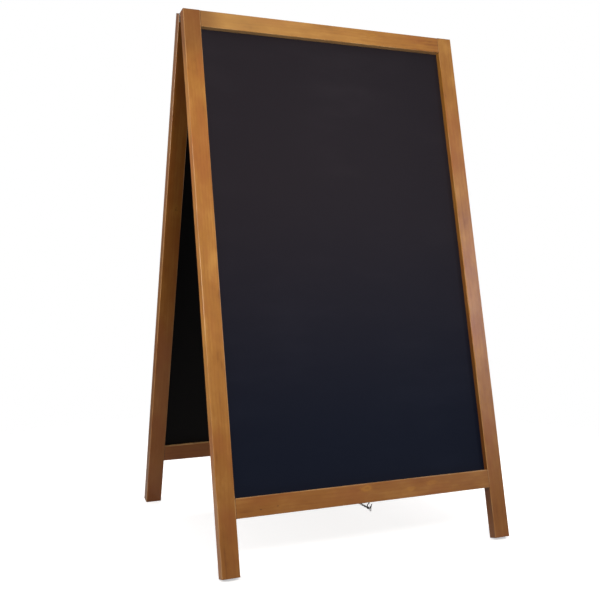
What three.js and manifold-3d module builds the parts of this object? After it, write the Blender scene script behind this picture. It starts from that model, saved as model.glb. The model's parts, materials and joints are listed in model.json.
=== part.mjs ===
// Folding A-frame chalkboard sign: two framed wooden leaves joined by a pair of butt hinges
// at the top and held open by a light chain under the bottom rails. Millimetres, +Z up.
// The origin is on the ground, in the middle of the four feet; the front leaf faces -Y.
import * as THREE from 'three';
import { mergeVertices } from 'three/addons/utils/BufferGeometryUtils.js';
import Module from 'manifold-3d';

const wasm = await Module();
wasm.setup();

// ---- driving dimensions ----
const BOARD_WIDTH = 680;
const LEAF_LENGTH = 1200;
const MEMBER_THICKNESS = 24;
const STILE_WIDTH = 38;
const TOP_RAIL_HEIGHT = 38;
const BOTTOM_RAIL_HEIGHT = 40;
const FOOT_LENGTH = 112;
const EDGE_RADIUS = 1.6;
const LEAF_TILT = THREE.MathUtils.degToRad(14);
const GAP = 0.3; // clearance left between neighbouring pieces

const PANEL_THICKNESS = 3;
const PANEL_RECESS = 14; // from the outer face of the frame to the writing surface
const PANEL_TONGUE = 6; // how far the panel reaches into the groove
const GROOVE_DEPTH = 7;

const DOWEL_RADIUS = 3;
const DOWEL_LENGTH = 30;
const DOWEL_OFFSET = 8; // each dowel's distance from the middle of its rail

const HINGE_LENGTH = 36;
const KNUCKLE_COUNT = 5;
const KNUCKLE_RADIUS = 3.5;
const HINGE_DROP = 1.5; // hinge axis below the top end of the leaf
const PIN_RADIUS = 1.7;
const PIN_HEAD_RADIUS = 2.6;
const PIN_HEAD_LENGTH = 0.8;
const PLATE_THICKNESS = 1.5;
const PLATE_REACH = 18; // how far the plate runs down the stile
const SCREW_PITCH = 11.5;
const SCREW_DROP = 10.5; // hinge screws below the top end of the leaf
const SCREW_COUNT = 3;
const SCREW_HEAD_RADIUS = 2.6;
const SCREW_SHANK_RADIUS = 1.3;
const SCREW_LENGTH = 9;
const SCREW_POINT_LENGTH = 2;
const SCREW_SINK = 0.05; // how far the heads lie below the face of the plate
const DRIVE_WIDTH = 0.7; // the cross cut in each screw head
const DRIVE_DEPTH = 1.6;

const WIRE_RADIUS = 1.1; // screw hook and screw eye
const RING_RADIUS = 4.7;
const RING_DROP = 7.8; // ring centre below the bottom rail
const SHANK_IN_WOOD = 14;
const HOOK_TIP_OUT = 2.4; // the hook's tip flares this far past its ring
const HOOK_TIP_HEIGHT = 3.2; // and ends this far above the middle of the ring
const CHAIN_RADIUS = 2.1;
const CHAIN_SIDE = 2.4; // the chain hangs this far beside the middle of its ring
const CHAIN_PASS = 2.6; // and its two runs pass this far beside the middle plane
const CHAIN_START = 5.5; // from the wire that holds the chain to the end of the run
const CHAIN_END_GAP = 0.6;
const LINK_WIRE_RADIUS = 0.9;
const LINK_HALF_WIDTH = 2.5;
const LINK_HALF_LENGTH = 5;
const LINK_DROP = 2; // spare link's centre below the wire that holds it

const HOLE_SIDES = 12; // flat sides of each kind of round piece
const SHAFT_SIDES = 16;
const KNUCKLE_SIDES = 24;
const SHANK_SIDES = 10;
const WIRE_SIDES = 8;
const RING_SIDES = 24;

// ---- worked out from them ----
const INNER_FACE = KNUCKLE_RADIUS + GAP; // hinge axis to the inner face of a leaf
const OUTER_FACE = INNER_FACE + MEMBER_THICKNESS;
const MID_DEPTH = INNER_FACE + MEMBER_THICKNESS / 2;
const LEAF_TOP = HINGE_DROP; // heights in a leaf, from the hinge axis
const LEAF_FOOT = LEAF_TOP - LEAF_LENGTH;
const RAIL_LOW = LEAF_FOOT + FOOT_LENGTH;
const OPENING_LOW = RAIL_LOW + BOTTOM_RAIL_HEIGHT;
const OPENING_HIGH = LEAF_TOP - TOP_RAIL_HEIGHT;
const OPENING_WIDTH = BOARD_WIDTH - 2 * STILE_WIDTH;
const STILE_CENTRE = (BOARD_WIDTH - STILE_WIDTH) / 2;
const RAIL_LENGTH = OPENING_WIDTH - 2 * GAP;
const PANEL_DEPTH = OUTER_FACE - PANEL_RECESS - PANEL_THICKNESS / 2;
const HINGE_HEIGHT = -LEAF_FOOT * Math.cos(LEAF_TILT) - INNER_FACE * Math.sin(LEAF_TILT);

// ---- materials ----
const finish = (name, color, roughness, metalness) =>
  new THREE.MeshStandardMaterial({ name, color, roughness, metalness });
const varnishedWood = finish('varnished_wood', 0xa5713a, 0.45, 0);
const dowelWood = finish('dowel_wood', 0xc9a878, 0.8, 0);
const chalkboardPaint = finish('chalkboard_paint', 0x201f29, 0.8, 0);
const hingeSteel = finish('hinge_steel', 0x9a9a96, 0.35, 1);
const screwSteel = finish('screw_steel', 0xa8a8a2, 0.3, 1);
const hookSteel = finish('hook_steel', 0x6e6c68, 0.35, 1);
const chainSteel = finish('chain_steel', 0x84817b, 0.3, 1);

// ---- solid tools ----
function solidOf(geometry) {
  geometry.deleteAttribute('normal');
  geometry.deleteAttribute('uv');
  const merged = mergeVertices(geometry, 1e-4);
  const vertProperties = Float32Array.from(merged.attributes.position.array);
  const triVerts = Uint32Array.from(merged.index.array);
  return new wasm.Manifold(new wasm.Mesh({ numProp: 3, vertProperties, triVerts }));
}

function geometryOf(solid) {
  const mesh = solid.getMesh();
  const geometry = new THREE.BufferGeometry();
  geometry.setAttribute('position', new THREE.BufferAttribute(mesh.vertProperties, 3));
  geometry.setIndex(new THREE.BufferAttribute(mesh.triVerts, 1));
  geometry.computeVertexNormals();
  return geometry;
}

function shaped(joined, cutters = []) {
  let solid = solidOf(joined[0]);
  for (const piece of joined.slice(1)) solid = solid.add(solidOf(piece));
  for (const cutter of cutters) solid = solid.subtract(solidOf(cutter));
  return geometryOf(solid);
}

function box(sizeX, sizeY, sizeZ, x, y, z) {
  return new THREE.BoxGeometry(sizeX, sizeY, sizeZ).translate(x, y, z);
}

// A cylinder along X, Y or Z with its middle at a point.
function cylinder(axis, radius, length, x, y, z, sides) {
  const geometry = new THREE.CylinderGeometry(radius, radius, length, sides);
  if (axis === 'x') geometry.rotateZ(-Math.PI / 2);
  if (axis === 'z') geometry.rotateX(Math.PI / 2);
  return geometry.translate(x, y, z);
}

// A bar along Z whose four long edges are rounded over.
function easedBar(width, thickness, length) {
  const x = width / 2 - EDGE_RADIUS;
  const y = thickness / 2 - EDGE_RADIUS;
  const section = new THREE.Shape();
  section.absarc(x, y, EDGE_RADIUS, 0, Math.PI / 2);
  section.absarc(-x, y, EDGE_RADIUS, Math.PI / 2, Math.PI);
  section.absarc(-x, -y, EDGE_RADIUS, Math.PI, Math.PI * 1.5);
  section.absarc(x, -y, EDGE_RADIUS, Math.PI * 1.5, Math.PI * 2);
  section.closePath();
  const options = { depth: length, bevelEnabled: false, curveSegments: 3 };
  return new THREE.ExtrudeGeometry(section, options).translate(0, 0, -length / 2);
}

function add(group, name, geometry, material) {
  const mesh = new THREE.Mesh(geometry, material);
  mesh.name = name;
  group.add(mesh);
  return mesh;
}

// ---- wooden frame ----
const railHeights = { top: TOP_RAIL_HEIGHT, bottom: BOTTOM_RAIL_HEIGHT };

const railMiddles = {
  top: (LEAF_TOP + OPENING_HIGH) / 2,
  bottom: (RAIL_LOW + OPENING_LOW) / 2,
};

// Heights of the two dowels at each end of a rail, from the hinge axis.
function dowelHeights(rail) {
  return [railMiddles[rail] + DOWEL_OFFSET, railMiddles[rail] - DOWEL_OFFSET];
}

function dowelHoles(rail, x) {
  const length = DOWEL_LENGTH + 2 * GAP;
  return dowelHeights(rail).map((z) =>
    cylinder('x', DOWEL_RADIUS + GAP, length, x, -MID_DEPTH, z, HOLE_SIDES));
}

function panelGroove(sizeX, sizeZ, x, z) {
  return box(sizeX, PANEL_THICKNESS + 2 * GAP, sizeZ, x, -PANEL_DEPTH, z);
}

// The stile's inner edge is square where a rail's end meets it, so that the joint closes flush.
function squareEdge(name, inward) {
  const height = railHeights[name] - 2 * EDGE_RADIUS;
  const x = -inward * (OPENING_WIDTH / 2 + EDGE_RADIUS);
  return box(2 * EDGE_RADIUS, MEMBER_THICKNESS, height, x, -MID_DEPTH, railMiddles[name]);
}

// A stile stands on one side of a leaf: inward is +1 when the opening lies towards +X.
function stile(inward) {
  const x = -inward * STILE_CENTRE;
  const innerEdge = -inward * (OPENING_WIDTH / 2);
  const grooveHeight = OPENING_HIGH - OPENING_LOW + 2 * GROOVE_DEPTH;
  const grooveMiddle = (OPENING_HIGH + OPENING_LOW) / 2;
  const bar = easedBar(STILE_WIDTH, MEMBER_THICKNESS, LEAF_LENGTH);
  bar.translate(x, -MID_DEPTH, (LEAF_TOP + LEAF_FOOT) / 2);
  const cutters = [
    panelGroove(2 * GROOVE_DEPTH, grooveHeight, innerEdge, grooveMiddle),
    ...dowelHoles('top', innerEdge),
    ...dowelHoles('bottom', innerEdge),
    ...hingeScrewPlaces(x).map((place) => screwHole(place)),
  ];
  return shaped([bar, squareEdge('top', inward), squareEdge('bottom', inward)], cutters);
}

function rail(name) {
  const grooveEdge = name === 'top' ? OPENING_HIGH : OPENING_LOW;
  const bar = easedBar(railHeights[name], MEMBER_THICKNESS, RAIL_LENGTH);
  bar.rotateY(Math.PI / 2).translate(0, -MID_DEPTH, railMiddles[name]);
  const cutters = [
    panelGroove(OPENING_WIDTH, 2 * GROOVE_DEPTH, 0, grooveEdge),
    ...dowelHoles(name, OPENING_WIDTH / 2),
    ...dowelHoles(name, -OPENING_WIDTH / 2),
  ];
  if (name === 'bottom') {
    const depth = 2 * (SHANK_IN_WOOD + GAP);
    cutters.push(cylinder('z', WIRE_RADIUS + GAP, depth, 0, -MID_DEPTH, RAIL_LOW, HOLE_SIDES));
  }
  return shaped([bar], cutters);
}

function panel() {
  const width = OPENING_WIDTH + 2 * PANEL_TONGUE;
  const height = OPENING_HIGH - OPENING_LOW + 2 * PANEL_TONGUE;
  const middle = (OPENING_HIGH + OPENING_LOW) / 2;
  return box(width, PANEL_THICKNESS, height, 0, -PANEL_DEPTH, middle);
}

function dowel() {
  const chamfer = 0.8;
  const half = DOWEL_LENGTH / 2;
  const profile = [
    new THREE.Vector2(0, -half),
    new THREE.Vector2(DOWEL_RADIUS - chamfer, -half),
    new THREE.Vector2(DOWEL_RADIUS, -half + chamfer),
    new THREE.Vector2(DOWEL_RADIUS, half - chamfer),
    new THREE.Vector2(DOWEL_RADIUS - chamfer, half),
    new THREE.Vector2(0, half),
  ];
  return new THREE.LatheGeometry(profile, HOLE_SIDES).rotateZ(-Math.PI / 2);
}

// ---- hinges ----
function hingeScrewPlaces(x) {
  const places = [];
  for (let i = 0; i < SCREW_COUNT; i++) {
    const across = x + (i - (SCREW_COUNT - 1) / 2) * SCREW_PITCH;
    places.push(new THREE.Vector3(across, -INNER_FACE, LEAF_TOP - SCREW_DROP));
  }
  return places;
}

// A countersunk screw along Y with its head's flat side at y = 0 and its point towards -Y.
function screwProfile(clearance) {
  const head = SCREW_HEAD_RADIUS + clearance;
  const shank = SCREW_SHANK_RADIUS + clearance;
  return [
    new THREE.Vector2(0, -SCREW_LENGTH - clearance),
    new THREE.Vector2(shank, -SCREW_LENGTH + SCREW_POINT_LENGTH),
    new THREE.Vector2(shank, -PLATE_THICKNESS),
    new THREE.Vector2(head, 0),
    new THREE.Vector2(0, 0),
  ];
}

function screw() {
  const body = new THREE.LatheGeometry(screwProfile(0), SHAFT_SIDES);
  const driveLength = SCREW_HEAD_RADIUS * 1.2;
  const cross = [
    box(driveLength, DRIVE_DEPTH, DRIVE_WIDTH, 0, 0, 0),
    box(DRIVE_WIDTH, DRIVE_DEPTH, driveLength, 0, 0, 0),
  ];
  return shaped([body], cross);
}

function screwHole(place) {
  const depth = 2 * (SCREW_LENGTH - PLATE_THICKNESS);
  return cylinder('y', SCREW_SHANK_RADIUS + GAP, depth, place.x, place.y, place.z, HOLE_SIDES);
}

function knuckleSpan(index) {
  const length = HINGE_LENGTH / KNUCKLE_COUNT;
  return { middle: (index - (KNUCKLE_COUNT - 1) / 2) * length, length };
}

// A plate lies on a leaf's inner face; it carries every second knuckle from the first one on.
function hingePlate(x, firstKnuckle) {
  const top = 0;
  const bottom = LEAF_TOP - PLATE_REACH;
  const depth = -(KNUCKLE_RADIUS - PLATE_THICKNESS / 2);
  const plate = box(HINGE_LENGTH - GAP, PLATE_THICKNESS, top - bottom, x, depth, (top + bottom) / 2);
  const joined = [plate];
  const notches = [];
  for (let i = 0; i < KNUCKLE_COUNT; i++) {
    const { middle, length } = knuckleSpan(i);
    if (i % 2 === firstKnuckle) {
      joined.push(cylinder('x', KNUCKLE_RADIUS, length - GAP, x + middle, 0, 0, KNUCKLE_SIDES));
    } else {
      const reach = 2 * (KNUCKLE_RADIUS + GAP);
      notches.push(box(length + GAP, reach, reach, x + middle, 0, 0));
    }
  }
  const bore = cylinder('x', PIN_RADIUS + GAP, HINGE_LENGTH + 2 * GAP, x, 0, 0, SHAFT_SIDES);
  const face = -(KNUCKLE_RADIUS - PLATE_THICKNESS);
  const countersinks = hingeScrewPlaces(x).map((place) =>
    new THREE.LatheGeometry(screwProfile(GAP), SHAFT_SIDES).translate(place.x, face, place.z));
  return shaped(joined, [...notches, bore, ...countersinks]);
}

function hingePin() {
  const shankLength = HINGE_LENGTH + PIN_HEAD_LENGTH;
  const headMiddle = (HINGE_LENGTH + PIN_HEAD_LENGTH) / 2 + GAP;
  const shank = cylinder('x', PIN_RADIUS, shankLength, 0, 0, 0, SHAFT_SIDES);
  const heads = [-1, 1].map((side) =>
    cylinder('x', PIN_HEAD_RADIUS, PIN_HEAD_LENGTH, side * headMiddle, 0, 0, SHAFT_SIDES));
  return shaped([shank, ...heads]);
}

// ---- chain hardware ----
function wire(path, radius, steps) {
  const section = new THREE.Shape();
  section.absarc(0, 0, radius, 0, Math.PI * 2);
  const options = { steps, bevelEnabled: false, extrudePath: path, curveSegments: WIRE_SIDES };
  return new THREE.ExtrudeGeometry(section, options);
}

function ringShank(x, z) {
  const low = z + RING_RADIUS;
  const high = RAIL_LOW + SHANK_IN_WOOD;
  return cylinder('z', WIRE_RADIUS, high - low, x, -MID_DEPTH, (high + low) / 2, SHANK_SIDES);
}

function screwEye() {
  const z = RAIL_LOW - RING_DROP;
  const ring = new THREE.TorusGeometry(RING_RADIUS, WIRE_RADIUS, WIRE_SIDES, RING_SIDES);
  ring.rotateX(Math.PI / 2).translate(0, -MID_DEPTH, z);
  return shaped([ring, ringShank(0, z)]);
}

// The hook's wire runs down one side of the ring, under it and up to a tip that flares out.
function screwHook() {
  const z = RAIL_LOW - RING_DROP;
  const points = [];
  const sweep = Math.PI * 1.5;
  const steps = 12;
  for (let i = 0; i <= steps; i++) {
    const angle = Math.PI / 2 + (sweep * i) / steps;
    const x = RING_RADIUS * Math.cos(angle);
    points.push(new THREE.Vector3(x, -MID_DEPTH, z + RING_RADIUS * Math.sin(angle)));
  }
  points.push(new THREE.Vector3(RING_RADIUS + HOOK_TIP_OUT, -MID_DEPTH, z + HOOK_TIP_HEIGHT));
  const bend = wire(new THREE.CatmullRomCurve3(points), WIRE_RADIUS, 32);
  return shaped([bend, ringShank(0, z)]);
}

function chainRun(from, to) {
  const along = new THREE.Vector3().subVectors(to, from);
  const length = along.length();
  const upright = new THREE.Vector3(0, 1, 0);
  const geometry = new THREE.CylinderGeometry(CHAIN_RADIUS, CHAIN_RADIUS, length, WIRE_SIDES);
  const mesh = new THREE.Mesh(geometry, chainSteel);
  mesh.quaternion.setFromUnitVectors(upright, along.normalize());
  mesh.position.addVectors(from, to).multiplyScalar(0.5);
  return mesh;
}

// A long link in the YZ plane: a ring whose two halves are drawn apart along Z.
function endLink() {
  const segments = 20;
  const loop = new THREE.TorusGeometry(LINK_HALF_WIDTH, LINK_WIRE_RADIUS, WIRE_SIDES, segments);
  loop.rotateY(Math.PI / 2).rotateX(Math.PI / segments);
  const straight = LINK_HALF_LENGTH - LINK_HALF_WIDTH;
  const position = loop.attributes.position;
  for (let i = 0; i < position.count; i++) {
    const z = position.getZ(i);
    position.setZ(i, z + Math.sign(z) * straight);
  }
  return loop;
}

// ---- assembly ----
const board = new THREE.Group();
board.name = 'sandwich_board';

// Both leaves are alike; the rear one is the front one turned half round about the upright.
function leafGroup(facing) {
  const turned = new THREE.Group();
  if (facing === 'rear') turned.rotation.z = Math.PI;
  const leaf = new THREE.Group();
  leaf.position.z = HINGE_HEIGHT;
  leaf.rotation.x = -LEAF_TILT;
  turned.add(leaf);
  board.add(turned);
  return leaf;
}

for (const facing of ['front', 'rear']) {
  const leaf = leafGroup(facing);
  const turn = facing === 'front' ? 1 : -1;
  for (const [side, sign] of [['left', -1], ['right', 1]]) {
    const local = sign * turn; // the side's sign in the leaf's own frame
    const x = local * STILE_CENTRE;
    add(leaf, `${facing}_${side}_stile`, stile(-local), varnishedWood);
    for (const name of ['top', 'bottom']) {
      dowelHeights(name).forEach((z, i) => {
        const place = add(leaf, `${facing}_${side}_${name}_dowel_${i + 1}`, dowel(), dowelWood);
        place.position.set((local * OPENING_WIDTH) / 2, -MID_DEPTH, z);
      });
    }
    const plateName = `${side}_hinge_${facing}_plate`;
    add(leaf, plateName, hingePlate(x, facing === 'front' ? 0 : 1), hingeSteel);
    hingeScrewPlaces(x).forEach((place, i) => {
      const piece = add(leaf, `${plateName}_screw_${i + 1}`, screw(), screwSteel);
      piece.position.set(place.x, PLATE_THICKNESS - KNUCKLE_RADIUS - SCREW_SINK, place.z);
    });
    if (facing === 'front') {
      add(leaf, `${side}_hinge_pin`, hingePin(), hingeSteel).position.x = x;
    }
  }
  add(leaf, `${facing}_top_rail`, rail('top'), varnishedWood);
  add(leaf, `${facing}_bottom_rail`, rail('bottom'), varnishedWood);
  add(leaf, `${facing}_chalkboard`, panel(), chalkboardPaint);
  const holder = facing === 'front' ? screwHook() : screwEye();
  add(leaf, facing === 'front' ? 'front_screw_hook' : 'rear_screw_eye', holder, hookSteel);
}

// Where the chain hangs on the wire of the front leaf's hook; the rear eye mirrors it.
const ringSeat = Math.sqrt(RING_RADIUS ** 2 - CHAIN_SIDE ** 2);
const seat = new THREE.Vector3(0, -MID_DEPTH, RAIL_LOW - RING_DROP - ringSeat);
seat.applyAxisAngle(new THREE.Vector3(1, 0, 0), -LEAF_TILT);
seat.z += HINGE_HEIGHT;

for (const [facing, side] of [['front', -1], ['rear', 1]]) {
  const reach = Math.abs(seat.y) - CHAIN_START;
  const outer = new THREE.Vector3(side * CHAIN_SIDE, side * reach, seat.z);
  const inner = new THREE.Vector3(side * CHAIN_PASS, side * CHAIN_END_GAP, seat.z);
  const run = chainRun(outer, inner);
  run.name = `${facing}_chain_run`;
  board.add(run);
}

// The chain's spare last link hangs on the other side of the hook's bend.
const spareLink = add(board, 'chain_end_link', endLink(), chainSteel);
spareLink.position.set(CHAIN_SIDE, seat.y, seat.z - LINK_DROP);

export default board;
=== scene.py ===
"""Looks for a folding A-frame chalkboard sign: varnished wood, black board, zinc-plated metal."""
import json
import math
import random
from collections import namedtuple

import bmesh
import bpy
from mathutils import Matrix, Vector


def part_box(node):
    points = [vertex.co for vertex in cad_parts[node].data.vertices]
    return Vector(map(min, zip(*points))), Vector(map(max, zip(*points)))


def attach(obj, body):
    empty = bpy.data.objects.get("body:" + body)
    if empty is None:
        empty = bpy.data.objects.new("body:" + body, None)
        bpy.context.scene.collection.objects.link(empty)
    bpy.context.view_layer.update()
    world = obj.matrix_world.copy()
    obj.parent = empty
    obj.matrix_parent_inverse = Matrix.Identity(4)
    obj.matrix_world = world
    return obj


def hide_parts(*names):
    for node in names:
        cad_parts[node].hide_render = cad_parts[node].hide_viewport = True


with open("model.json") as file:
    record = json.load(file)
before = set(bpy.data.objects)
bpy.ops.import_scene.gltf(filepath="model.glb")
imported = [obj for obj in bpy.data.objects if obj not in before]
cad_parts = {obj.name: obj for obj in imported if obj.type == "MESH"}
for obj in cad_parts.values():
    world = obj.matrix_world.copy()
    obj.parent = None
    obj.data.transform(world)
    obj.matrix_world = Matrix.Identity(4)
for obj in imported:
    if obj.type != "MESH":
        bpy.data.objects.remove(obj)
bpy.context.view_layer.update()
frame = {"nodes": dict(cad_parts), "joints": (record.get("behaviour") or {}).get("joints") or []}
nodes = frame["nodes"]
joints = {joint["name"]: joint for joint in frame["joints"]}

# ---------------------------------------------------------------- dimensions, in metres
TILT = math.radians(14)
UP_THE_LEAF = {
    "front": Vector((0, math.sin(TILT), math.cos(TILT))),
    "rear": Vector((0, -math.sin(TILT), math.cos(TILT))),
}
OUT_OF_THE_LEAF = {
    "front": Vector((0, -math.cos(TILT), math.sin(TILT))),
    "rear": Vector((0, math.cos(TILT), math.sin(TILT))),
}
ACROSS = Vector((1, 0, 0))

HOOK_WIRE = 0.0011  # this and the other wires are radii
RING_RADIUS = 0.0047  # of the hook's bend and of the eye, to the middle of the wire
SHANK_TOP = 0.0165  # how far above the ring a shank ends in the rail
HOOK_NECK = (0.004, 0.0015)  # where the hook's shank starts to bend, above the ring
EYE_NECK = 0.006
HOOK_TURN = math.pi * 1.5
HOOK_TIP = ((0.0016, 0.0007), (0.0030, 0.0021))  # up and across from the end of the bend
HOOK_STEPS = 30
EYE_STEPS = 36
LINK_STEPS = 10
WIRE_SIDES = 14
CHAIN_SIDE = 0.0024  # how far the chain's ends lie to each side of the middle
CHAIN_SAG = 0.004
SLOPE_STEP = 0.001  # how far ahead and behind the slope of the chain is read
CHAIN_WIRE = 0.00076
CHAIN_WIRE_SIDES = 10
CHAIN_LINK_LENGTH = 0.0104
CHAIN_LINK_WIDTH = 0.0046
JOINING_LINK_WIDTH = 0.0060
SPARE_LINK_WIRE = 0.0008
SPARE_LINK_LENGTH = 0.0118
SPARE_LINK_WIDTH = 0.0068

# ---------------------------------------------------------------- camera
CAMERA_PLACE = Vector((-0.9124, -2.0449, 0.6786))
CAMERA_HEADING = math.radians(25.71)  # turned right from +Y
CAMERA_PITCH = math.radians(-2.885)
CAMERA_ROLL = math.radians(0.673)
CAMERA_LENS = 56.425
CAMERA_SENSOR = 36.0
CAMERA_SHIFT = (-0.0758, -0.0264)


def make_camera():
    """The camera stands to the front left, a little above the middle of the board's height."""
    level = math.cos(CAMERA_PITCH)
    ahead = Vector((
        math.sin(CAMERA_HEADING) * level,
        math.cos(CAMERA_HEADING) * level,
        math.sin(CAMERA_PITCH),
    ))
    right = Vector((math.cos(CAMERA_HEADING), -math.sin(CAMERA_HEADING), 0))
    up = right.cross(ahead)
    turn = Matrix.Rotation(-CAMERA_ROLL, 3, ahead)
    right, up = turn @ right, turn @ up
    data = bpy.data.cameras.new("camera")
    data.lens = CAMERA_LENS
    data.sensor_width = CAMERA_SENSOR
    data.shift_x, data.shift_y = CAMERA_SHIFT
    camera = bpy.data.objects.new("camera", data)
    axes = Matrix((right, up, -ahead)).transposed()
    camera.matrix_world = Matrix.Translation(CAMERA_PLACE) @ axes.to_4x4()
    bpy.context.scene.collection.objects.link(camera)
    bpy.context.scene.camera = camera


make_camera()


# ---------------------------------------------------------------- shader tools
def srgb(red, green, blue):
    """A colour given in the usual 0 to 255 steps, as the linear colour that a shader takes."""
    channels = [value / 255 for value in (red, green, blue)]
    linear = [v / 12.92 if v <= 0.04045 else ((v + 0.055) / 1.055) ** 2.4 for v in channels]
    return (*linear, 1.0)


class Shader:
    """A material with a Principled shader, and short ways to add the nodes that feed it."""

    def __init__(self, name):
        self.material = bpy.data.materials.new(name)
        self.material.use_nodes = True
        self.tree = self.material.node_tree
        self.surface = self.tree.nodes["Principled BSDF"]

    def feed(self, socket, value):
        if isinstance(value, bpy.types.NodeSocket):
            self.tree.links.new(value, socket)
        else:
            socket.default_value = value

    def set(self, **values):
        for name, value in values.items():
            self.feed(self.surface.inputs[name.replace("_", " ")], value)

    def place(self):
        """Where a point is on the object, in metres."""
        return self.tree.nodes.new("ShaderNodeTexCoord").outputs["Object"]

    def math(self, operation, first, second=0.0, third=0.0, clamp=False):
        node = self.tree.nodes.new("ShaderNodeMath")
        node.operation = operation
        node.use_clamp = clamp
        for socket, value in zip(node.inputs, (first, second, third)):
            self.feed(socket, value)
        return node.outputs[0]

    def vector(self, operation, first, second):
        node = self.tree.nodes.new("ShaderNodeVectorMath")
        node.operation = operation
        self.feed(node.inputs[0], first)
        self.feed(node.inputs[1], second)
        return node.outputs["Value" if operation in ("DOT_PRODUCT", "DISTANCE") else "Vector"]

    def combine(self, x, y, z):
        node = self.tree.nodes.new("ShaderNodeCombineXYZ")
        for socket, value in zip(node.inputs, (x, y, z)):
            self.feed(socket, value)
        return node.outputs[0]

    def noise(self, vector, stretch, detail=3.0, roughness=0.55):
        """Noise from 0 to 1, with stretch cycles per metre along each axis."""
        node = self.tree.nodes.new("ShaderNodeTexNoise")
        node.inputs["Scale"].default_value = 1.0
        node.inputs["Detail"].default_value = detail
        node.inputs["Roughness"].default_value = roughness
        self.feed(node.inputs["Vector"], self.vector("MULTIPLY", vector, stretch))
        return node.outputs["Fac"]

    def step(self, value, low, high, to_low=0.0, to_high=1.0):
        """Smooth step of a value from low to high."""
        node = self.tree.nodes.new("ShaderNodeMapRange")
        node.interpolation_type = "SMOOTHSTEP"
        for socket, number in zip(node.inputs, (value, low, high, to_low, to_high)):
            self.feed(socket, number)
        return node.outputs["Result"]

    def mix(self, factor, first, second):
        node = self.tree.nodes.new("ShaderNodeMix")
        node.data_type = "RGBA"
        self.feed(node.inputs[0], factor)
        colours = [socket for socket in node.inputs if socket.type == "RGBA"]
        self.feed(colours[0], first)
        self.feed(colours[1], second)
        return next(socket for socket in node.outputs if socket.type == "RGBA")

    def bump(self, height, distance, strength=1.0):
        node = self.tree.nodes.new("ShaderNodeBump")
        node.inputs["Distance"].default_value = distance
        node.inputs["Strength"].default_value = strength
        self.feed(node.inputs["Height"], height)
        self.feed(self.surface.inputs["Normal"], node.outputs["Normal"])


# ---------------------------------------------------------------- wood
WOOD_LIGHT = srgb(200, 142, 66)
WOOD_MIDDLE = srgb(176, 116, 46)
WOOD_DARK = srgb(136, 80, 27)
WOOD_RED = srgb(170, 98, 46)
# the darker colour, used for stain and for painted shade
WOOD_DEEP = srgb(108, 58, 22)
WOOD_PALE = srgb(196, 154, 91)
WOOD_DULL = srgb(96, 70, 50)
WOOD_SHADED_INNER = srgb(170, 84, 24)
# pale wood: wear and painted highlight on the arrises, painted light in the rails' recess
WOOD_WORN_AND_LIT = srgb(218, 174, 120)
WOOD_END = srgb(132, 84, 42)
WOOD_END_RING = srgb(82, 48, 22)
WOOD_KNOT = srgb(86, 46, 18)
WOOD_FIGURE = srgb(192, 132, 46)

# growth rings, in metres except the sharpness
PITH_ASIDE = (0.05, 0.11)
PITH_BEHIND = (0.05, 0.09)
RING_SPACING = 0.0058
RING_WANDER = 0.030
RING_RIPPLE = 0.0035
RING_SHARPNESS = 2.2

# knots and figures, as multiples of a mark's radius; the last is how slender they are along the grain
RAGGED_EDGE = 3.0
SWELL_REACH = 3.5
SWELL_HEIGHT = 2.5
CORE_REACH = 0.2
FIGURE_REACH = 2.4
MARK_SLENDERNESS = 0.42

# what makes the wood lighter and darker, from 0, dark, to 1, light
TONE_MIDDLE = 0.59
STREAK_TONE = 0.45
PATCH_TONE = 1.5
FIBRE_TONE = 0.40
RING_TONE = -0.10
RED_SHARE = 0.5
PORE_SHARE = 0.30

# how the stain, the wear, and painted shade and light lie on every member: shares of a colour, and
# distances in metres
FOOT_PAINTED_SHADE = 0.42  # painted shade: how much further the colour goes towards WOOD_DEEP at the feet, where less light falls
FOOT_HEIGHT = 0.50
RECESS_PAINTED_SHADE = 0.6  # painted shade: the same, low down on the sides of the recess round the panel
RECESS_FADE = (0.35, -0.30)  # where along a stile this starts and is full
RECESS_DEPTH = (0.0004, 0.0020)  # how far behind the front face the recess starts and is full
RECESS_PAINTED_LIGHT = 0.6  # painted light, as bounced up from the floor: share of the pale colour above and below the panel
BACK_PAINTED_SHADE = 0.28  # painted shade: share of the redder, darker colour on the face towards the other leaf
# partly wear, partly painted highlight: share of the pale colour along the arrises
ARRIS_WEAR_AND_HIGHLIGHT = 0.4
END_SHARE = 0.85
SKIN = (0.0006, 0.0002)  # how deep under a face its own tone starts and is full
ARRIS_BAND = (0.0022, 0.0004)
END_BAND = (0.0012, 0.0003)

VARNISH_ROUGHNESS = 0.28
VARNISH_SMEAR = 0.16
PORE_ROUGHNESS = 0.15
GRAIN_RELIEF = 0.00012

# One member of a frame. across, outward and along are its directions: over its width, out of the
# leaf, and along its grain. half is half its width, thickness and length, and back is where its
# back face lies along outward. inward is 1 or -1, the way along across that the panel lies.
Member = namedtuple("Member", "name centre across outward along half back inward is_stile")

# How one member is toned: its shares of WOOD_DEEP, partly stain and partly painted shade, of the dull
# tone on its outer side and of the pale tone at its low end, and the end with painted shade, if there
# is one.
Tones = namedtuple("Tones", "stain dull pale deep_end", defaults=(0.0, 0.0, 0.0, None))

# An end with painted shade: 1 or -1, the distances from it that are fully shaded and no longer
# shaded, and the share of WOOD_DEEP.
DeepEnd = namedtuple("DeepEnd", "way full gone share")

# A knot, pin knot or pale figure: its place across and along from the member's middle, its
# radius, the darkness of its core and the paleness of the figure round it.
Mark = namedtuple("Mark", "across along radius core figure")


def random_shift(dice):
    """A move that makes each material show a different part of the same noise."""
    return tuple(dice.uniform(-5, 5) for _ in range(3))


def near_face(s, distance, half, band):
    """1 on a face that lies half away from the middle, and 0 deeper under it than the band."""
    return s.step(distance, half - band[0], half - band[1])


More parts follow.
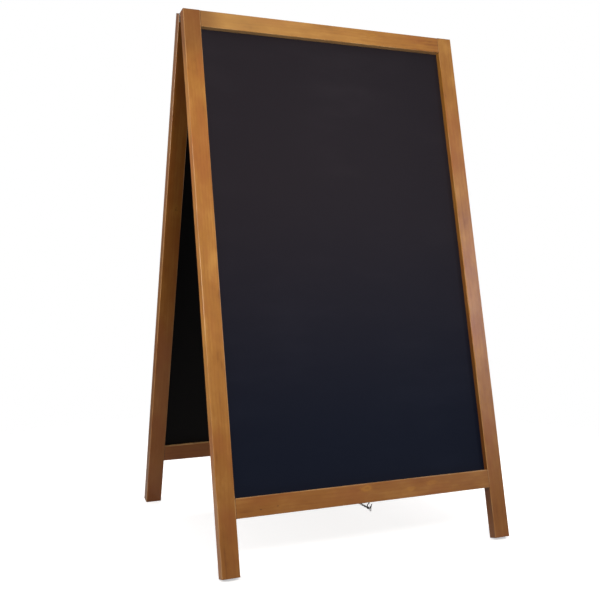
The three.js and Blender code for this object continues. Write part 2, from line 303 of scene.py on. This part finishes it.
def growth_rings(s, local, shifted, dice, marks):
    """Shells round a pith line that lies outside the member and wanders along it.

    Returns the rings from 0 to 1, and the masks of the knots and of the figures.
    """
    aside = dice.uniform(*PITH_ASIDE) * dice.choice((-1, 1))
    pith = (aside, -dice.uniform(*PITH_BEHIND), 0)
    wander = s.noise(shifted, (6, 6, 1.6), detail=2.0)
    ripple = s.noise(shifted, (30, 30, 4), detail=2.0)
    from_pith = s.vector("DISTANCE", s.vector("MULTIPLY", local, (1, 1, 0)), pith)
    bent = s.math("MULTIPLY_ADD", wander, RING_WANDER, from_pith)
    bent = s.math("MULTIPLY_ADD", ripple, RING_RIPPLE, bent)
    ragged = s.math("SUBTRACT", s.noise(shifted, (210, 210, 90), detail=3.0), 0.5)
    knots = 0.0
    figures = 0.0
    for mark in marks:
        away = s.vector("SUBTRACT", local, (mark.across, 0, mark.along))
        slender = s.vector("MULTIPLY", away, (1, 0, MARK_SLENDERNESS))
        reach = s.vector("DISTANCE", slender, (0, 0, 0))
        reach = s.math("MULTIPLY_ADD", ragged, mark.radius * RAGGED_EDGE, reach)
        swell = s.step(reach, 0.0, mark.radius * SWELL_REACH, 1.0, 0.0)
        bent = s.math("MULTIPLY_ADD", swell, mark.radius * SWELL_HEIGHT, bent)
        knot = s.step(reach, mark.radius * CORE_REACH, mark.radius, mark.core, 0.0)
        knots = s.math("MAXIMUM", knots, knot)
        figure = s.step(reach, mark.radius, mark.radius * FIGURE_REACH, mark.figure, 0.0)
        figures = s.math("MAXIMUM", figures, figure)
    wave = s.math("SINE", s.math("MULTIPLY", bent, 2 * math.pi / RING_SPACING))
    rings = s.math("POWER", s.math("MULTIPLY_ADD", wave, 0.5, 0.5), RING_SHARPNESS)
    return rings, knots, figures


def grain(s, shifted, rings):
    """The wood's colour with an even stain, and its fibres and pores from 0 to 1."""
    fibres = s.noise(shifted, (520, 520, 9), detail=4.0, roughness=0.6)
    streaks = s.noise(shifted, (90, 90, 3.2), detail=3.0)
    patches = s.noise(shifted, (26, 26, 12), detail=3.0, roughness=0.6)
    blush = s.noise(s.vector("ADD", shifted, (3, 7, 1)), (18, 18, 7), detail=2.0)
    pores = s.step(s.noise(shifted, (1400, 1400, 60), detail=1.0), 0.66, 0.74)
    tone = s.math("MULTIPLY_ADD", s.math("SUBTRACT", streaks, 0.5), STREAK_TONE, TONE_MIDDLE)
    tone = s.math("MULTIPLY_ADD", s.math("SUBTRACT", patches, 0.5), PATCH_TONE, tone)
    tone = s.math("MULTIPLY_ADD", s.math("SUBTRACT", fibres, 0.5), FIBRE_TONE, tone)
    tone = s.math("MULTIPLY_ADD", rings, RING_TONE, tone, clamp=True)
    colour = s.mix(s.step(tone, 0.45, 1.0), WOOD_MIDDLE, WOOD_LIGHT)
    colour = s.mix(s.step(tone, 0.5, 0.0), colour, WOOD_DARK)
    colour = s.mix(s.step(blush, 0.45, 0.68, 0.0, RED_SHARE), colour, WOOD_RED)
    colour = s.mix(s.math("MULTIPLY", pores, PORE_SHARE), colour, WOOD_DARK)
    return colour, fibres, pores


def stained_and_shaded(s, colour, x, y, z, member, tones):
    """Adds where the member is paler, deeper, duller or redder than the rest: stain, with painted
    shade towards the feet, at the shaded end, low in the recess and between the leaves, and painted
    light in the recess of the rails.
    """
    half = member.half
    colour = s.mix(s.step(z, -half[2], half[2], tones.pale, 0.0), colour, WOOD_PALE)
    # painted shade: darker towards the feet, on top of the member's stain
    height = s.vector("DOT_PRODUCT", s.place(), (0, 0, 1))
    stain_and_foot_shade = s.step(height, 0.0, FOOT_HEIGHT, tones.stain + FOOT_PAINTED_SHADE, tones.stain)
    colour = s.mix(stain_and_foot_shade, colour, WOOD_DEEP)
    # painted shade: darker at the front leaf's top-left corner
    if tones.deep_end:
        end = tones.deep_end
        from_end = s.math("MULTIPLY_ADD", z, -end.way, half[2])
        colour = s.mix(s.step(from_end, end.gone, end.full, 0.0, end.share), colour, WOOD_DEEP)
    panel_side = near_face(s, s.math("MULTIPLY", x, member.inward), half[0], SKIN)
    behind = s.step(y, half[1] - RECESS_DEPTH[0], half[1] - RECESS_DEPTH[1])
    recess = s.math("MULTIPLY", panel_side, behind)
    if member.is_stile:
        # painted shade: darker low down on the sides of the recess
        recess = s.math("MULTIPLY", recess, s.step(z, *RECESS_FADE, 0.0, RECESS_PAINTED_SHADE))
        colour = s.mix(recess, colour, WOOD_DEEP)
    else:
        # painted light: paler on the rails' faces above and below the panel
        colour = s.mix(s.math("MULTIPLY", recess, RECESS_PAINTED_LIGHT), colour, WOOD_WORN_AND_LIT)
    outer_side = near_face(s, s.math("MULTIPLY", x, -member.inward), half[0], SKIN)
    colour = s.mix(s.math("MULTIPLY", outer_side, tones.dull), colour, WOOD_DULL)
    # painted shade: redder and darker on the faces between the leaves
    back_face = s.step(y, member.back + SKIN[0], member.back + SKIN[1])
    return s.mix(s.math("MULTIPLY", back_face, BACK_PAINTED_SHADE), colour, WOOD_SHADED_INNER)


def worn_highlit_and_cut(s, colour, x, y, z, shifted, rings, half):
    """Adds paler arrises along the member, partly wear and partly painted highlight, and dark end
    grain.
    """
    at_side = near_face(s, s.math("ABSOLUTE", x), half[0], ARRIS_BAND)
    at_front = near_face(s, s.math("ABSOLUTE", y), half[1], ARRIS_BAND)
    wear_and_gleam = s.step(s.noise(shifted, (60, 60, 14), detail=3.0), 0.35, 0.6)
    arris = s.math("MULTIPLY", s.math("MULTIPLY", at_side, at_front), wear_and_gleam)
    # paler arrises: partly wear, partly painted highlight
    colour = s.mix(s.math("MULTIPLY", arris, ARRIS_WEAR_AND_HIGHLIGHT), colour, WOOD_WORN_AND_LIT)
    end = near_face(s, s.math("ABSOLUTE", z), half[2], END_BAND)
    end_grain = s.mix(rings, WOOD_END, WOOD_END_RING)
    return s.mix(s.math("MULTIPLY", end, END_SHARE), colour, end_grain)


def wood(member, tones, marks, seed):
    """Stained and varnished timber whose grain runs along one member, with painted shade and light.
    """
    s = Shader(f"{member.name}_wood")
    offset = s.vector("SUBTRACT", s.place(), tuple(member.centre))
    x = s.vector("DOT_PRODUCT", offset, tuple(member.across))
    y = s.vector("DOT_PRODUCT", offset, tuple(member.outward))
    z = s.vector("DOT_PRODUCT", offset, tuple(member.along))
    local = s.combine(x, y, z)
    dice = random.Random(seed)
    shifted = s.vector("ADD", local, random_shift(dice))
    rings, knots, figures = growth_rings(s, local, shifted, dice, marks)
    colour, fibres, pores = grain(s, shifted, rings)
    colour = stained_and_shaded(s, colour, x, y, z, member, tones)
    colour = worn_highlit_and_cut(s, colour, x, y, z, shifted, rings, member.half)
    if marks:
        colour = s.mix(figures, colour, WOOD_FIGURE)
        colour = s.mix(knots, colour, WOOD_KNOT)

    # satin varnish, a little uneven, and duller over the pores
    smear = s.noise(shifted, (22, 22, 9), detail=3.0)
    roughness = s.math("MULTIPLY_ADD", smear, VARNISH_SMEAR, VARNISH_ROUGHNESS)
    roughness = s.math("MULTIPLY_ADD", pores, PORE_ROUGHNESS, roughness)
    s.set(Base_Color=colour, Roughness=roughness, Coat_Weight=0.10, Coat_Roughness=0.25)
    relief = s.math("MULTIPLY_ADD", rings, -0.35, fibres)
    relief = s.math("MULTIPLY_ADD", pores, -0.8, relief)
    s.bump(relief, GRAIN_RELIEF, 0.5)
    return s.material


# ---------------------------------------------------------------- chalkboard and dowels
# painted shade and reflection: the paint is darker and bluer low down, lighter high up
BOARD_LOW_SHADED = srgb(16, 21, 35)
BOARD_HIGH_LIT = srgb(38, 33, 37)
WIPED_LOW_SHADED = srgb(22, 27, 41)
WIPED_HIGH_LIT = srgb(46, 41, 45)
BOARD_SPECK = srgb(50, 46, 52)
BOARD_BACK_SHADED = srgb(9, 7, 6)
BOARD_SHADE_GRADE = (0.15, 0.85)  # painted shade and reflection: the heights between which the paint goes from its darker, bluer low colour to its high colour
SPECK_SHARE = 0.25
BOARD_TURN = (0.0002, -0.0002)  # where paint gives way to the plain back with painted shade, out from the middle
DOWEL_DARK = srgb(176, 136, 88)
DOWEL_LIGHT = srgb(216, 184, 138)


def chalkboard(name, centre, outward, seed):
    """Matt black chalkboard paint, rolled on, with a ghost of wiped chalk and painted shade and
    reflection that make it darker and bluer lower down; the back is plain and darker still as painted
    shade.
    """
    s = Shader(name)
    spot = s.vector("ADD", s.place(), random_shift(random.Random(seed)))
    haze = s.noise(spot, (2.2, 2.2, 1.4), detail=2.0)
    swipes = s.noise(spot, (5, 5, 16), detail=4.0, roughness=0.6)
    specks = s.noise(spot, (900, 900, 900), detail=2.0)
    ghost = s.math("MULTIPLY", s.step(haze, 0.35, 0.75), s.step(swipes, 0.35, 0.8))
    # painted shade and reflection by height
    height = s.step(s.vector("DOT_PRODUCT", s.place(), (0, 0, 1)), *BOARD_SHADE_GRADE)
    paint = s.mix(height, BOARD_LOW_SHADED, BOARD_HIGH_LIT)
    wiped = s.mix(height, WIPED_LOW_SHADED, WIPED_HIGH_LIT)
    colour = s.mix(ghost, paint, wiped)
    speckled = s.math("MULTIPLY", s.step(specks, 0.5, 0.9), SPECK_SHARE)
    colour = s.mix(speckled, colour, BOARD_SPECK)
    offset = s.vector("SUBTRACT", s.place(), tuple(centre))
    depth = s.vector("DOT_PRODUCT", offset, tuple(outward))
    # the back: plain near-black, darker still as painted shade between the leaves
    colour = s.mix(s.step(depth, *BOARD_TURN), colour, BOARD_BACK_SHADED)
    roughness = s.math("MULTIPLY_ADD", specks, 0.14, s.math("MULTIPLY_ADD", swipes, 0.10, 0.50))
    s.set(Base_Color=colour, Roughness=roughness, Specular_IOR_Level=0.17)
    s.bump(s.math("MULTIPLY_ADD", swipes, 0.3, specks), 0.00008, 0.6)
    return s.material


def raw_wood(name):
    """Bare wood, with its fibres along the width of the board."""
    s = Shader(name)
    fibres = s.noise(s.place(), (90, 700, 700), detail=3.0)
    s.set(Base_Color=s.mix(fibres, DOWEL_DARK, DOWEL_LIGHT), Roughness=0.8)
    s.bump(fibres, 0.0001, 0.5)
    return s.material


# ---------------------------------------------------------------- metal
SPOT_SHARE = 0.45
ROLLED = (300, 2400, 2400)  # scratches drawn out along the hinge
TUMBLED = (900, 900, 900)


def zinc(name, light, dark, polish, scratch_cycles=TUMBLED):
    """Zinc-plated steel: cloudy plating, fine scratches and dull spots."""
    s = Shader(name)
    cloud = s.noise(s.place(), (160, 160, 160), detail=3.0)
    scratches = s.noise(s.place(), scratch_cycles, detail=3.0, roughness=0.7)
    spots = s.step(s.noise(s.place(), (420, 420, 420), detail=2.0), 0.60, 0.72)
    colour = s.mix(s.step(cloud, 0.3, 0.7), dark, light)
    colour = s.mix(s.math("MULTIPLY", spots, SPOT_SHARE), colour, dark)
    roughness = s.math("MULTIPLY_ADD", scratches, 0.22, polish)
    roughness = s.math("MULTIPLY_ADD", spots, 0.15, roughness)
    s.set(Base_Color=colour, Metallic=1.0, Roughness=roughness)
    s.bump(scratches, 0.00003, 0.6)
    return s.material


HINGE_METAL = zinc("hinge_zinc", srgb(226, 224, 218), srgb(172, 170, 164), 0.30, ROLLED)
SCREW_METAL = zinc("screw_zinc", srgb(222, 220, 214), srgb(164, 162, 156), 0.24)
# painted shade: the hook, eye and chain are zinc made nearly black
HOOK_METAL_SHADED = zinc("hook_zinc_shaded", srgb(98, 94, 88), srgb(48, 46, 42), 0.28)
CHAIN_METAL_SHADED = zinc("chain_zinc_shaded", srgb(108, 104, 98), srgb(52, 50, 46), 0.24)
LINK_METAL = zinc("link_zinc", srgb(212, 208, 200), srgb(150, 146, 140), 0.22)
DOWEL_WOOD = raw_wood("raw_dowel")


# ---------------------------------------------------------------- finishing the CAD nodes
def wear(node, material):
    """Gives a CAD node one material."""
    slots = node.data.materials
    slots.clear()
    slots.append(material)


SHARP = math.radians(48)


def soften(node, width):
    """Rounds a CAD node's sharp edges by width and shades it smoothly; its mesh stays as it is."""
    for face in node.data.polygons:
        face.use_smooth = True
    weld = node.modifiers.new("weld", "WELD")
    weld.merge_threshold = 1e-6
    bevel = node.modifiers.new("bevel", "BEVEL")
    bevel.width = width
    bevel.segments = 2
    bevel.limit_method = "ANGLE"
    bevel.angle_limit = SHARP
    bevel.harden_normals = True
    normals = node.modifiers.new("normals", "WEIGHTED_NORMAL")
    normals.keep_sharp = True


MARKS = {
    "front_top_rail": [Mark(0.006, 0.12, 0.0026, 0.10, 0.30)],
    "front_bottom_rail": [
        Mark(0.010, -0.009, 0.0034, 0.20, 0.50),
        Mark(-0.002, 0.100, 0.0026, 0.10, 0.30),
        Mark(0.006, 0.150, 0.0028, 0.10, 0.30),
        Mark(-0.004, -0.2115, 0.0020, 0.80, 0.0),
        Mark(-0.0075, -0.249, 0.0016, 0.75, 0.0),
    ],
    "front_right_stile": [Mark(-0.006, -0.18, 0.0028, 0.10, 0.30)],
    "rear_left_stile": [Mark(0.005, 0.16, 0.0032, 0.70, 0.25)],
    "rear_right_stile": [Mark(-0.004, -0.22, 0.0026, 0.70, 0.25)],
    "rear_bottom_rail": [Mark(-0.003, 0.17, 0.0024, 0.60, 0.20)],
}

# the stain shares are partly painted shade, darker on the right stile and the rear leaf; the shaded
# ends are painted shade at the front leaf's top-left corner
TONES = {
    "front_left_stile": Tones(stain=0.06, deep_end=DeepEnd(1, 0.065, 0.143, 0.56)),
    "front_right_stile": Tones(stain=0.12),
    "front_top_rail": Tones(pale=0.45, deep_end=DeepEnd(-1, 0.005, 0.060, 0.50)),
    "front_bottom_rail": Tones(stain=0.06),
    "rear_left_stile": Tones(stain=0.18, dull=0.5),
    "rear_right_stile": Tones(stain=0.10, dull=0.5),
    "rear_top_rail": Tones(stain=0.06),
    "rear_bottom_rail": Tones(stain=0.20),
}

FIRST_WOOD_SEED = {"front": 11, "rear": 51}
BOARD_SEED = {"front": 5, "rear": 6}
SOFT_TIMBER = 0.0002
SOFT_HINGE = 0.00018
SOFT_SCREW = 0.0001


def finish_timber():
    """Gives every stile and rail its own wood, and rounds its edges a little."""
    for leaf in ("front", "rear"):
        up, out = UP_THE_LEAF[leaf], OUT_OF_THE_LEAF[leaf]
        for turn, part in enumerate(("left_stile", "right_stile", "top_rail", "bottom_rail")):
            name = f"{leaf}_{part}"
            low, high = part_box(name)
            centre = (low + high) / 2
            corners = [vertex.co - centre for vertex in nodes[name].data.vertices]
            half_up = max(corner.dot(up) for corner in corners)
            half_out = max(corner.dot(out) for corner in corners)
            half_wide = (high.x - low.x) / 2
            back = min(corner.dot(out) for corner in corners)
            inward = 1 if part in ("left_stile", "bottom_rail") else -1
            is_stile = part.endswith("stile")
            if is_stile:
                across, along, half = ACROSS, up, (half_wide, half_out, half_up)
            else:
                across, along, half = up, ACROSS, (half_up, half_out, half_wide)
            member = Member(name, centre, across, out, along, half, back, inward, is_stile)
            seed = FIRST_WOOD_SEED[leaf] + turn
            wear(nodes[name], wood(member, TONES[name], MARKS.get(name, ()), seed))
            soften(nodes[name], SOFT_TIMBER)


def finish_small_parts():
    """Gives the dowels, screws, hinges and panels their materials."""
    for name, node in nodes.items():
        if "dowel" in name:
            wear(node, DOWEL_WOOD)
            soften(node, SOFT_TIMBER)
        elif "screw_" in name and "hinge" in name:
            wear(node, SCREW_METAL)
            soften(node, SOFT_SCREW)
        elif "hinge" in name:
            wear(node, HINGE_METAL)
            soften(node, SOFT_HINGE)
        elif name.endswith("chalkboard"):
            leaf = name.split("_")[0]
            low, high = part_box(name)
            centre = (low + high) / 2
            wear(node, chalkboard(f"{name}_paint", centre, OUT_OF_THE_LEAF[leaf], BOARD_SEED[leaf]))


finish_timber()
finish_small_parts()


# ---------------------------------------------------------------- wire forms
def sweep(name, paths, radius, sides=WIRE_SIDES, closed=True):
    """One mesh of round wires, each along its own list of points."""
    mesh = bmesh.new()
    for path in paths:
        count = len(path)
        frames = []
        normal = None
        for i, point in enumerate(path):
            before = path[i - 1] if closed or i else path[0]
            after = path[(i + 1) % count] if closed or i < count - 1 else path[-1]
            tangent = (after - before).normalized()
            if normal is None:
                guide = Vector((0, 0, 1)) if abs(tangent.z) < 0.9 else Vector((1, 0, 0))
                normal = tangent.cross(guide).normalized()
            normal = (normal - tangent * normal.dot(tangent)).normalized()
            frames.append((point, normal, tangent.cross(normal)))
        rings = []
        for point, across, other in frames:
            ring = []
            for k in range(sides):
                angle = 2 * math.pi * k / sides
                spoke = across * math.cos(angle) + other * math.sin(angle)
                ring.append(mesh.verts.new(point + spoke * radius))
            rings.append(ring)
        pairs = list(zip(rings, rings[1:]))
        if closed:
            pairs.append((rings[-1], rings[0]))
        for first, second in pairs:
            for k in range(sides):
                after = (k + 1) % sides
                mesh.faces.new((first[k], first[after], second[after], second[k]))
        if not closed:
            mesh.faces.new(list(reversed(rings[0])))
            mesh.faces.new(rings[-1])
    bmesh.ops.recalc_face_normals(mesh, faces=mesh.faces)
    data = bpy.data.meshes.new(name)
    mesh.to_mesh(data)
    mesh.free()
    for face in data.polygons:
        face.use_smooth = True
    piece = bpy.data.objects.new(name, data)
    bpy.context.scene.collection.objects.link(piece)
    return piece


def oval(centre, along, across, length, width, wire):
    """Points round a link with straight sides: length and width are its outer sizes."""
    radius = width / 2 - wire
    straight = length / 2 - wire - radius
    points = []
    for end in (1, -1):
        for i in range(LINK_STEPS + 1):
            angle = math.pi * i / LINK_STEPS - math.pi / 2
            reach = along * (straight + radius * math.cos(angle)) + across * radius * math.sin(angle)
            points.append(centre + reach * end)
    return points


# ---------------------------------------------------------------- hook, eye and chain
def joint_place(name):
    """Where a joint is, in metres."""
    return Vector(joints[name]["pos_m"])


def ring_centre(leaf):
    """The middle of the hook's bend or of the eye, worked out from where the chain hangs on it."""
    seat = joint_place(f"{leaf}_chain_swing")
    drop = math.sqrt(RING_RADIUS**2 - CHAIN_SIDE**2)
    return Vector((0, seat.y, seat.z)) + UP_THE_LEAF[leaf] * drop


def ring_point(leaf, angle):
    """A point on the hook's bend or on the eye; the angle goes from across to up."""
    aside = ACROSS * RING_RADIUS * math.cos(angle)
    return ring_centre(leaf) + aside + UP_THE_LEAF[leaf] * RING_RADIUS * math.sin(angle)


def finish_wire_part(piece, body, node, material):
    """Sets a wire form's material and body, and hides the CAD node that it stands for."""
    piece.data.materials.append(material)
    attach(piece, body)
    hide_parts(node)


def make_hook():
    """An open screw hook: shank, round bend and a tip that flares away to the side."""
    up = UP_THE_LEAF["front"]
    top = ring_point("front", math.pi / 2)
    path = [top + up * height for height in (SHANK_TOP, *HOOK_NECK)]
    for i in range(HOOK_STEPS + 1):
        path.append(ring_point("front", math.pi / 2 + HOOK_TURN * i / HOOK_STEPS))
    end = path[-1]
    path += [end + up * rise + ACROSS * aside for rise, aside in HOOK_TIP]
    piece = sweep("screw_hook", [path], HOOK_WIRE, closed=False)
    finish_wire_part(piece, "front_leaf", "front_screw_hook", HOOK_METAL_SHADED)


def make_eye():
    """A closed screw eye and its shank."""
    up = UP_THE_LEAF["rear"]
    top = ring_point("rear", math.pi / 2)
    shank = [top + up * SHANK_TOP, top + up * EYE_NECK, top]
    ring = [ring_point("rear", 2 * math.pi * i / EYE_STEPS) for i in range(EYE_STEPS)]
    piece = sweep("screw_eye", [ring], HOOK_WIRE)
    stem = sweep("screw_eye_shank", [shank], HOOK_WIRE, closed=False)
    finish_wire_part(piece, "rear_leaf", "rear_screw_eye", HOOK_METAL_SHADED)
    stem.data.materials.append(HOOK_METAL_SHADED)
    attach(stem, "rear_leaf")


def make_chain():
    """A short-link chain that sags a little from the hook to the eye.

    The links up to the middle one move with the front half of the chain, the rest with the rear.
    The end links take in the hook's and the eye's wire, and each other link its neighbours' wire.
    """
    hook, eye = joint_place("front_chain_swing"), joint_place("rear_chain_swing")
    start = Vector((-CHAIN_SIDE, hook.y, hook.z))
    run = Vector((CHAIN_SIDE, eye.y, eye.z)) - start
    first = CHAIN_LINK_LENGTH / 2 - 2 * CHAIN_WIRE - HOOK_WIRE
    tight = CHAIN_LINK_LENGTH - 4 * CHAIN_WIRE
    half = math.ceil((run.length / 2 - first) / tight)
    pitch = (run.length / 2 - first) / half

    def on_line(distance):
        share = distance / run.length
        return start + run * share - Vector((0, 0, CHAIN_SAG * 4 * share * (1 - share)))

    links = []
    for i in range(2 * half + 1):
        middle = first + pitch * i
        centre = on_line(middle)
        along = (on_line(middle + SLOPE_STEP) - on_line(middle - SLOPE_STEP)).normalized()
        level = along.cross(Vector((0, 0, 1))).normalized()
        across = level.cross(along) if i % 2 == 0 else level
        width = JOINING_LINK_WIDTH if i in (0, 2 * half) else CHAIN_LINK_WIDTH
        links.append(oval(centre, along, across, CHAIN_LINK_LENGTH, width, CHAIN_WIRE))
    for leaf, part in (("front", links[:half + 1]), ("rear", links[half + 1:])):
        piece = sweep(f"{leaf}_chain_links", part, CHAIN_WIRE, CHAIN_WIRE_SIDES)
        finish_wire_part(piece, f"{leaf}_chain", f"{leaf}_chain_run", CHAIN_METAL_SHADED)


def make_spare_link():
    """The chain's last link, which hangs loose on the hook."""
    low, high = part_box("chain_end_link")
    centre = (low + high) / 2
    upright, across = Vector((0, 0, 1)), Vector((0, 1, 0))
    points = oval(centre, upright, across, SPARE_LINK_LENGTH, SPARE_LINK_WIDTH, SPARE_LINK_WIRE)
    piece = sweep("spare_link_wire", [points], SPARE_LINK_WIRE)
    finish_wire_part(piece, "spare_link", "chain_end_link", LINK_METAL)


make_hook()
make_eye()
make_chain()
make_spare_link()


# ---------------------------------------------------------------- floor and light
FLOOR_SOLID = 0.4  # the floor fades out between these distances from the middle
FLOOR_GONE = 1.5
FLOOR_BEYOND = 0.4
FLOOR_DROP = 0.0004  # how far it lies under the feet
FLOOR_DIM = (0.82, 0.82, 0.82, 1)
FLOOR_PALE = (0.87, 0.87, 0.87, 1)
FLOOR_BOUNCE = (0.42, 0.42, 0.42, 1)  # how much light it sends back up
FLOOR_LIFT = 0.50
WHITE = (1, 1, 1, 1)
SKY_LOW = (0.55, 0.72, 1.0, 1)
SKY_HIGH = (0.98, 0.95, 1.0, 1)
SKY_COLOUR_SPAN = (0.1, 0.6)  # how high the sky's colour starts and stops changing, 1 being overhead
SKY_STRENGTH = {"From Min": -0.05, "From Max": 0.75, "To Min": 0.06, "To Max": 0.46}
WARM = (1.0, 0.97, 0.92)
COOL = (0.55, 0.66, 1.0)


def make_floor():
    """A pale floor that lies under the feet and fades into the white round it."""
    size = 2 * FLOOR_GONE + FLOOR_BEYOND
    bpy.ops.mesh.primitive_plane_add(size=size, location=(0, 0, -FLOOR_DROP))
    floor = bpy.context.object
    floor.name = "floor"
    s = Shader("pale_floor")
    cloud = s.noise(s.place(), (1.5, 1.5, 1.5), detail=2.0)
    reach = s.vector("DISTANCE", s.place(), (0, 0, 0))
    seen = s.tree.nodes.new("ShaderNodeLightPath").outputs["Is Camera Ray"]
    pale = s.mix(cloud, FLOOR_DIM, FLOOR_PALE)
    s.set(
        Base_Color=s.mix(seen, FLOOR_BOUNCE, pale),
        Roughness=0.9,
        Emission_Color=WHITE,
        Emission_Strength=s.math("MULTIPLY", seen, FLOOR_LIFT),
        Alpha=s.step(reach, FLOOR_SOLID, FLOOR_GONE, 1.0, 0.0),
    )
    floor.data.materials.append(s.material)


def make_surround():
    """White to the eye; as light it is dim and blue at the horizon and shines most from above."""
    world = bpy.data.worlds.new("studio")
    bpy.context.scene.world = world
    world.use_nodes = True
    tree = world.node_tree
    lit = tree.nodes["Background"]
    direction = tree.nodes.new("ShaderNodeTexCoord")
    height = tree.nodes.new("ShaderNodeSeparateXYZ")
    tree.links.new(direction.outputs["Generated"], height.inputs[0])
    rise = tree.nodes.new("ShaderNodeMapRange")
    for name, value in SKY_STRENGTH.items():
        rise.inputs[name].default_value = value
    tree.links.new(height.outputs["Z"], rise.inputs["Value"])
    tree.links.new(rise.outputs["Result"], lit.inputs["Strength"])
    ramp = tree.nodes.new("ShaderNodeValToRGB")
    stops = zip(ramp.color_ramp.elements, SKY_COLOUR_SPAN, (SKY_LOW, SKY_HIGH))
    for stop, place, colour in stops:
        stop.position = place
        stop.color = colour
    tree.links.new(height.outputs["Z"], ramp.inputs[0])
    tree.links.new(ramp.outputs[0], lit.inputs["Color"])
    seen = tree.nodes.new("ShaderNodeBackground")
    seen.inputs["Color"].default_value = WHITE
    path = tree.nodes.new("ShaderNodeLightPath")
    choose = tree.nodes.new("ShaderNodeMixShader")
    tree.links.new(path.outputs["Is Camera Ray"], choose.inputs[0])
    tree.links.new(lit.outputs[0], choose.inputs[1])
    tree.links.new(seen.outputs[0], choose.inputs[2])
    tree.links.new(choose.outputs[0], tree.nodes["World Output"].inputs["Surface"])


def lamp(name, place, aim, size, power, colour, glossy=True, diffuse=True):
    """A round soft lamp; it may be left out of sheens or of plain light."""
    data = bpy.data.lights.new(name, "AREA")
    data.shape = "DISK"
    data.size = size
    data.energy = power
    data.color = colour
    light = bpy.data.objects.new(name, data)
    light.location = place
    light.rotation_euler = (Vector(aim) - Vector(place)).to_track_quat("-Z", "Y").to_euler()
    light.visible_camera = False
    light.visible_glossy = glossy
    light.visible_diffuse = diffuse
    bpy.context.scene.collection.objects.link(light)


def make_lamps():
    """One soft lamp close to each side, and a cool window that only shows as a sheen."""
    lamp("key", (-0.20, -1.40, 1.25), (-0.03, -0.1, 0.85), 0.6, 16.3, WARM, glossy=False)
    lamp("left", (-1.7, 0.0, 0.92), (-0.3, 0, 0.65), 0.7, 18, WARM)
    lamp("right", (1.7, 0.0, 0.92), (0.3, 0, 0.65), 0.7, 14, WARM)
    lamp("rear", (0.2, 1.45, 1.25), (0, 0.1, 0.8), 0.6, 15.5, WARM, glossy=False)
    lamp("window", (2.0, -2.33, 1.48), (0.3, -0.17, 0.5), 0.9, 14, COOL, diffuse=False)


make_floor()
make_surround()
make_lamps()
bpy.context.scene.view_settings.view_transform = "Standard"
